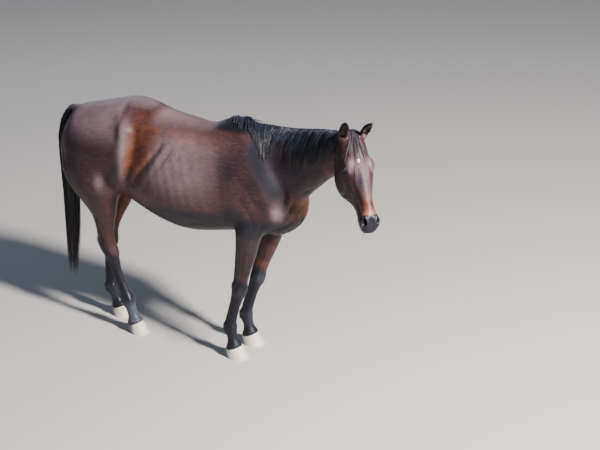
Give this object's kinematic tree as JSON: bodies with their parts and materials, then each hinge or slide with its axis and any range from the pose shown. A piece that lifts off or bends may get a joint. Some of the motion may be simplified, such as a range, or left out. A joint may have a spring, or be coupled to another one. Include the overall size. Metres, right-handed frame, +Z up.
{
  "type": "horse",
  "caption": "Life-size bay horse standing still, head lowered and turned to its right, hind feet staggered, black mane, tail and lower legs, pale hooves.",
  "frame": {"origin": "on the ground, under the middle of the whole horse's box", "axes": "+X forward along the trunk, +Y to the horse's left, +Z up"},
  "size_m": [2.4674, 0.7782, 1.774],
  "materials": {
    "brown_coat": "short glossy reddish brown coat",
    "black_coat": "short black coat of the lower legs, ears and muzzle",
    "long_hair": "long black hair with a few pale strands",
    "hoof_horn": "pale dry horn with fine growth rings",
    "eye": "wet, very dark brown"
  },
  "bodies": {
    "root": {"barrel": "brown_coat", "ear_left": "black_coat", "ear_right": "black_coat", "eye_left": "eye", "eye_right": "eye", "foreleg_left_cannon": "black_coat", "foreleg_left_forearm": "brown_coat", "foreleg_left_hoof": "hoof_horn", "foreleg_left_knee": "black_coat", "foreleg_left_pastern": "black_coat", "foreleg_right_cannon": "black_coat", "foreleg_right_forearm": "brown_coat", "foreleg_right_hoof": "hoof_horn", "foreleg_right_knee": "black_coat", "foreleg_right_pastern": "black_coat", "forelock": "long_hair", "forequarters": "brown_coat", "head": "brown_coat", "hindleg_left_cannon": "black_coat", "hindleg_left_gaskin": "brown_coat", "hindleg_left_hock": "black_coat", "hindleg_left_hoof": "hoof_horn", "hindleg_left_pastern": "black_coat", "hindleg_right_cannon": "black_coat", "hindleg_right_gaskin": "brown_coat", "hindleg_right_hock": "black_coat", "hindleg_right_hoof": "hoof_horn", "hindleg_right_pastern": "black_coat", "hindquarters": "brown_coat", "mane": "long_hair", "muzzle": "black_coat", "neck": "brown_coat", "tail_dock": "brown_coat", "tail_hair": "long_hair"}
  },
  "joints": []
}
